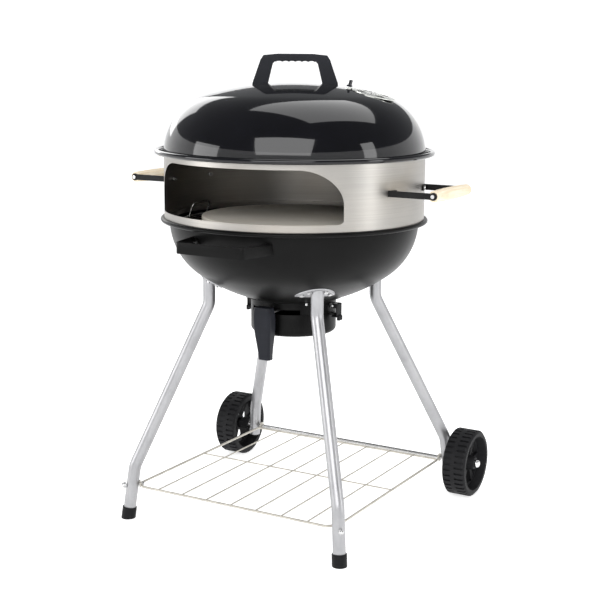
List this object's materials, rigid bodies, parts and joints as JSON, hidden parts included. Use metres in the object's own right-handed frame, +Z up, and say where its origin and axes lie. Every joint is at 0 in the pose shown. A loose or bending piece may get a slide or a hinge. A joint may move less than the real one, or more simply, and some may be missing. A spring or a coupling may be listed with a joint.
{
  "type": "kettle charcoal grill with pizza ring",
  "caption": "Round kettle charcoal grill on four tube legs with two wheels and a wire rack, with a steel pizza ring and its wide mouth between bowl and domed lid.",
  "frame": {"origin": "on the ground under the bowl's vertical axis", "axes": "+Z up, -Y out of the pizza mouth to the front, +X to the grill's right as it faces forward along -Y"},
  "size_m": [0.727, 0.6492, 0.9638],
  "materials": {
    "bowl_enamel": "satin black enamel",
    "lid_enamel": "glossy black enamel",
    "arm_enamel": "satin black",
    "plated_steel": "dull plated steel",
    "leg_silver": "satin silver",
    "fastener_steel": "bright steel",
    "cap_plastic": "matt black",
    "bright_cap": "bright",
    "rack_wire": "bright plated wire",
    "wheel_plastic": "matt black",
    "grate_wire": "bright plated wire",
    "baked_stone": "matt pale beige",
    "ring_steel": "brushed stainless",
    "turned_wood": "pale oiled wood",
    "handle_plastic": "matt black, heat resistant",
    "damper_metal": "bright",
    "sweeper_metal": "dull"
  },
  "bodies": {
    "stand": {"bowl": "bowl_enamel", "bowl_handle": "bowl_enamel", "pot_collar": "bowl_enamel", "grate_tabs": "plated_steel", "coal_tabs": "plated_steel", "latch_brackets": "plated_steel", "leg_front_left": "leg_silver", "leg_front_right": "leg_silver", "leg_rear_left": "leg_silver", "leg_rear_right": "leg_silver", "leg_plate_front_left": "leg_silver", "leg_plate_front_right": "leg_silver", "leg_plate_rear_left": "leg_silver", "leg_plate_rear_right": "leg_silver", "leg_screws": "fastener_steel", "leg_nuts": "fastener_steel", "bowl_handle_screws": "fastener_steel", "bowl_handle_nuts": "fastener_steel", "axle": "fastener_steel", "axle_washers": "fastener_steel", "rack_bolts": "fastener_steel", "rack_cap_nuts": "fastener_steel", "collar_screws": "fastener_steel", "latch_pins": "fastener_steel", "foot_cap_front_left": "cap_plastic", "foot_cap_front_right": "cap_plastic", "leg_plugs": "cap_plastic", "hub_cap_left": "bright_cap", "hub_cap_right": "bright_cap", "bottom_rack": "rack_wire"},
    "left_wheel": {"wheel_left": "wheel_plastic"},
    "right_wheel": {"wheel_right": "wheel_plastic"},
    "coal_grate_body": {"charcoal_grate": "grate_wire"},
    "cooking_grate_body": {"cooking_grate": "grate_wire"},
    "stone_body": {"pizza_stone": "baked_stone"},
    "ring_body": {"pizza_ring": "ring_steel", "ring_arm_left_front": "arm_enamel", "ring_arm_left_rear": "arm_enamel", "ring_arm_right_front": "arm_enamel", "ring_arm_right_rear": "arm_enamel", "ring_arm_screws": "fastener_steel", "ring_arm_nuts": "fastener_steel", "grip_screws": "fastener_steel", "wood_grip_left": "turned_wood", "wood_grip_right": "turned_wood"},
    "lid_body": {"lid": "lid_enamel", "lid_handle": "handle_plastic", "lid_handle_screws": "fastener_steel", "lid_handle_washers": "fastener_steel", "vent_rivet": "fastener_steel"},
    "damper_body": {"lid_damper": "damper_metal", "damper_knob": "handle_plastic"},
    "sweeper_body": {"ash_sweeper": "sweeper_metal", "lever_arm": "sweeper_metal", "sweeper_shaft": "fastener_steel", "sweeper_pin": "fastener_steel", "lever_grip": "handle_plastic"},
    "pot_body": {"ash_pot": "bowl_enamel"},
    "left_latch": {"pot_latch_left": "cap_plastic"},
    "right_latch": {"pot_latch_right": "cap_plastic"}
  },
  "joints": [
    {"name": "left_wheel_turn", "type": "hinge", "parent": "stand", "child": "left_wheel", "pos_m": [-0.295, 0.25463, 0.0736], "axis": [1, 0, 0], "continuous": true},
    {"name": "right_wheel_turn", "type": "hinge", "parent": "stand", "child": "right_wheel", "pos_m": [0.295, 0.25463, 0.0736], "axis": [1, 0, 0], "continuous": true},
    {"name": "coal_grate_lift", "type": "slide", "parent": "stand", "child": "coal_grate_body", "axis": [0, 0, 1], "range_m": [0, 0.15]},
    {"name": "cooking_grate_lift", "type": "slide", "parent": "coal_grate_body", "child": "cooking_grate_body", "axis": [0, 0, 1], "range_m": [0, 0.1]},
    {"name": "stone_lift", "type": "slide", "parent": "cooking_grate_body", "child": "stone_body", "axis": [0, 0, 1], "range_m": [0, 0.15]},
    {"name": "ring_lift", "type": "slide", "parent": "stone_body", "child": "ring_body", "axis": [0, 0, 1], "range_m": [0, 0.2]},
    {"name": "lid_lift", "type": "slide", "parent": "ring_body", "child": "lid_body", "axis": [0, 0, 1], "range_m": [0, 0.3]},
    {"name": "damper_turn", "type": "hinge", "parent": "lid_body", "child": "damper_body", "pos_m": [0.16286, 0.03213, 0.8856], "axis": [0.241, 0.0475, 0.9694], "range_deg": [0, 45]},
    {"name": "lever_turn", "type": "hinge", "parent": "stand", "child": "sweeper_body", "pos_m": [0, 0, 0.445], "axis": [0, 0, 1], "range_deg": [-30, 30]},
    {"name": "pot_drop", "type": "slide", "parent": "stand", "child": "pot_body", "axis": [0, 0, -1], "range_m": [0, 0.12]},
    {"name": "left_latch_open", "type": "hinge", "parent": "stand", "child": "left_latch", "pos_m": [-0.1, 0, 0.4515], "axis": [0, 1, 0], "range_deg": [0, 60]},
    {"name": "right_latch_open", "type": "hinge", "parent": "stand", "child": "right_latch", "pos_m": [0.1, 0, 0.4515], "axis": [0, -1, 0], "range_deg": [0, 60]}
  ]
}
